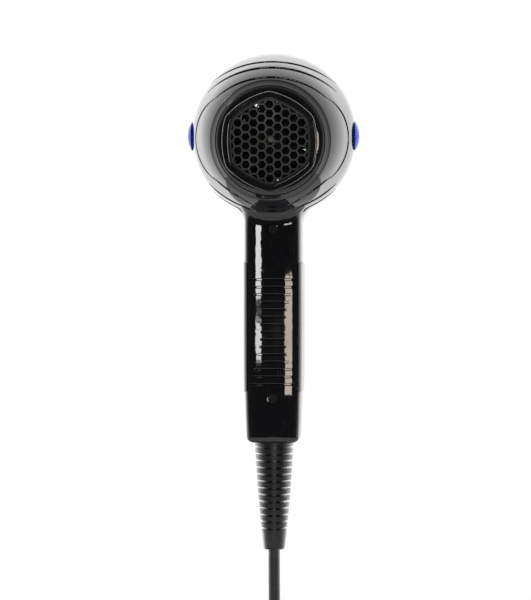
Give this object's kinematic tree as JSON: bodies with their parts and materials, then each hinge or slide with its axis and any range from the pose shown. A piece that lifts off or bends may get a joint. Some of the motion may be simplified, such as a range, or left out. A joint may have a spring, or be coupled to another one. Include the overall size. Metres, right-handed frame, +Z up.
{
  "type": "hair dryer",
  "caption": "Hand-held professional hair dryer with a round head, hexagonal honeycomb intake at the rear, ribbed grip, front switches, strain relief boot and cord with plug.",
  "frame": {"origin": "middle of the hand grip, on the handle's axis", "axes": "+Z up along the handle, +Y the way the air leaves (the barrel points 7 degrees above it), +X to the right seen from behind"},
  "size_m": [0.1527, 0.1965, 0.3995],
  "materials": {
    "housing_black": "polished black moulding",
    "cover_black": "polished black moulding with fine cross grooves",
    "inlay_black": "satin black grip panel",
    "cap_black": "polished black moulding",
    "grille_grey": "satin dark grey moulding",
    "cap_blue": "polished deep blue moulding",
    "boot_rubber": "satin black rubber",
    "cord_rubber": "satin black sheath",
    "screw_steel": "zinc plated steel",
    "collar_black": "polished black heat-proof moulding",
    "heat_black": "heat-proof black moulding",
    "duct_grey": "grey moulding",
    "motor_steel": "zinc plated steel can",
    "magnet_grey": "ferrite",
    "shaft_steel": "ground steel",
    "core_copper": "enamelled copper winding on a laminated core",
    "contact_brass": "copper contact",
    "carbon": "carbon",
    "card_brown": "phenolic board",
    "fan_olive": "olive grey moulding",
    "mica": "mica sheet",
    "heating_wire": "resistance wire",
    "pcb_green": "circuit board",
    "switch_black": "satin black moulding",
    "button_blue": "polished deep blue moulding",
    "spring_steel": "spring wire",
    "wire_red": "wire sleeve",
    "wire_white": "wire sleeve",
    "tie_black": "cord tie",
    "plug_black": "moulded black plug",
    "pin_nickel": "nickel plated brass"
  },
  "bodies": {
    "dryer": {"main_housing": "housing_black", "handle_rear_cover": "cover_black", "cover_screws": "screw_steel", "grip_inlay_left": "inlay_black", "grip_inlay_right": "inlay_black", "side_cap_left": "cap_blue", "side_cap_right": "cap_blue", "side_screws": "screw_steel", "front_barrel": "housing_black", "outlet_collar": "collar_black", "outlet_grille": "heat_black", "motor_mount": "duct_grey", "motor_can": "motor_steel", "motor_bearings": "shaft_steel", "motor_magnets": "magnet_grey", "brushes": "carbon", "brush_card": "card_brown", "heater_board_flat": "mica", "heater_board_upright": "mica", "heating_coils": "heating_wire", "heat_shield": "mica", "thermal_cutout": "contact_brass", "thermal_fuse": "shaft_steel", "rectifier_board": "pcb_green", "switch_panel": "switch_black", "speed_switch_body": "switch_black", "heat_switch_body": "switch_black", "cool_spring": "spring_steel", "cool_switch_body": "switch_black", "cord_boot": "boot_rubber", "cord_lead": "cord_rubber", "cord_clamp": "heat_black", "clamp_screws": "screw_steel", "wire_live": "wire_red", "wire_neutral": "wire_white", "power_cord": "cord_rubber", "cord_tail": "cord_rubber", "cord_coil": "cord_rubber", "cord_tie": "tie_black", "plug_body": "plug_black", "plug_pins": "pin_nickel"},
    "rotor": {"rotor_shaft": "shaft_steel", "armature": "core_copper", "commutator": "contact_brass", "fan": "fan_olive"},
    "rear_cap_set": {"rear_cap": "cap_black", "intake_grille": "grille_grey"},
    "speed_rocker": {"speed_rocker": "switch_black"},
    "heat_rocker": {"heat_rocker": "switch_black"},
    "cool_button": {"cool_button": "button_blue"}
  },
  "joints": [
    {"name": "fan_spin", "type": "hinge", "parent": "dryer", "child": "rotor", "pos_m": [0, 0, 0.1126], "axis": [0, 0.9925, 0.1219], "continuous": true},
    {"name": "cap_pull", "type": "slide", "parent": "dryer", "child": "rear_cap_set", "axis": [0, -0.9925, -0.1219], "range_m": [0, 0.028]},
    {"name": "speed_tilt", "type": "hinge", "parent": "dryer", "child": "speed_rocker", "pos_m": [0, 0.0062, 0], "axis": [1, 0, 0], "range_deg": [-8, 8]},
    {"name": "heat_tilt", "type": "hinge", "parent": "dryer", "child": "heat_rocker", "pos_m": [0, 0.0062, 0.0216], "axis": [1, 0, 0], "range_deg": [-8, 8]},
    {"name": "cool_press", "type": "slide", "parent": "dryer", "child": "cool_button", "axis": [0, -1, 0], "range_m": [0, 0.002], "stiffness_N_per_m": 500, "springref_m": -0.004, "deforming": ["cool_spring"]}
  ]
}
